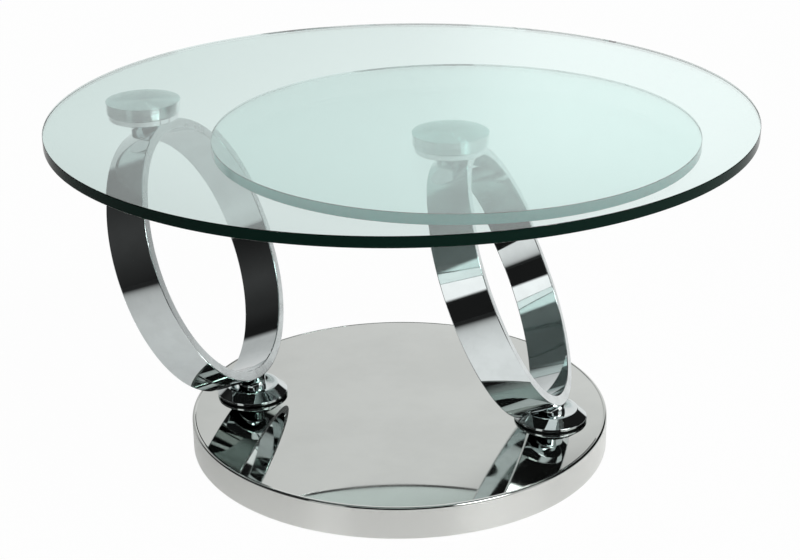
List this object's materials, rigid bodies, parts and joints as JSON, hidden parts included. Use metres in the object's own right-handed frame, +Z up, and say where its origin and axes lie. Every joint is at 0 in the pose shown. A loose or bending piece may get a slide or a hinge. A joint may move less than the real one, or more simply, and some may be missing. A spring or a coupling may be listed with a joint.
{
  "type": "swivel coffee table",
  "caption": "Low coffee table with round clear-glass tops on leaning polished rings that swivel on a heavy round base.",
  "frame": {"origin": "centre of the round base's footprint, on the floor", "axes": "+Z up; +X from the post of the upper top towards the post of the lower top; +Y to the back"},
  "size_m": [0.7999, 0.8, 0.4115],
  "materials": {
    "clear_glass": "polished",
    "chrome": "mirror",
    "mirror_steel": "mirror",
    "satin_steel": "satin",
    "spun_aluminium": "spun",
    "black_nylon": "matte",
    "bronze": "machined",
    "grey_felt": "felt",
    "black_paint": "powder coat",
    "raw_steel": "as rolled",
    "zinc_steel": "zinc plated"
  },
  "bodies": {
    "base": {"base_top_plate": "mirror_steel", "base_rim_band": "satin_steel", "base_ballast": "raw_steel", "base_underside_plate": "black_paint", "base_spacers": "zinc_steel", "base_screws": "zinc_steel", "base_glides": "grey_felt", "left_spindle_bush": "bronze", "right_spindle_bush": "bronze", "left_glide_washer": "black_nylon", "right_glide_washer": "black_nylon"},
    "left_arm": {"left_spindle": "zinc_steel", "left_thrust_washer": "zinc_steel", "left_lock_nut": "zinc_steel", "left_flange": "chrome", "left_lower_neck": "chrome", "left_ring": "chrome", "left_upper_neck": "chrome", "left_hub_plate": "chrome", "left_hub_bush": "bronze", "left_hub_washer": "black_nylon"},
    "right_arm": {"right_spindle": "zinc_steel", "right_thrust_washer": "zinc_steel", "right_lock_nut": "zinc_steel", "right_flange": "chrome", "right_lower_neck": "chrome", "right_ring": "chrome", "right_upper_neck": "chrome", "right_hub_plate": "chrome", "right_hub_bush": "bronze", "right_hub_washer": "black_nylon"},
    "big_top": {"left_hub_pin": "zinc_steel", "left_hub_disc": "spun_aluminium", "big_glass": "clear_glass"},
    "small_top": {"right_hub_pin": "zinc_steel", "right_hub_disc": "spun_aluminium", "small_glass": "clear_glass"}
  },
  "joints": [
    {"name": "left_arm_swivel", "type": "hinge", "parent": "base", "child": "left_arm", "pos_m": [-0.184, 0, 0.04], "axis": [0, 0, 1], "range_deg": [-56.9, 63.1]},
    {"name": "big_top_swivel", "type": "hinge", "parent": "left_arm", "child": "big_top", "pos_m": [-0.30382, 0.00649, 0.38545], "axis": [0, 0, 1], "continuous": true},
    {"name": "right_arm_swivel", "type": "hinge", "parent": "base", "child": "right_arm", "pos_m": [0.184, 0, 0.04], "axis": [0, 0, 1], "continuous": true},
    {"name": "small_top_swivel", "type": "hinge", "parent": "right_arm", "child": "small_top", "pos_m": [0.06402, -0.00209, 0.35845], "axis": [0, 0, 1], "continuous": true}
  ]
}
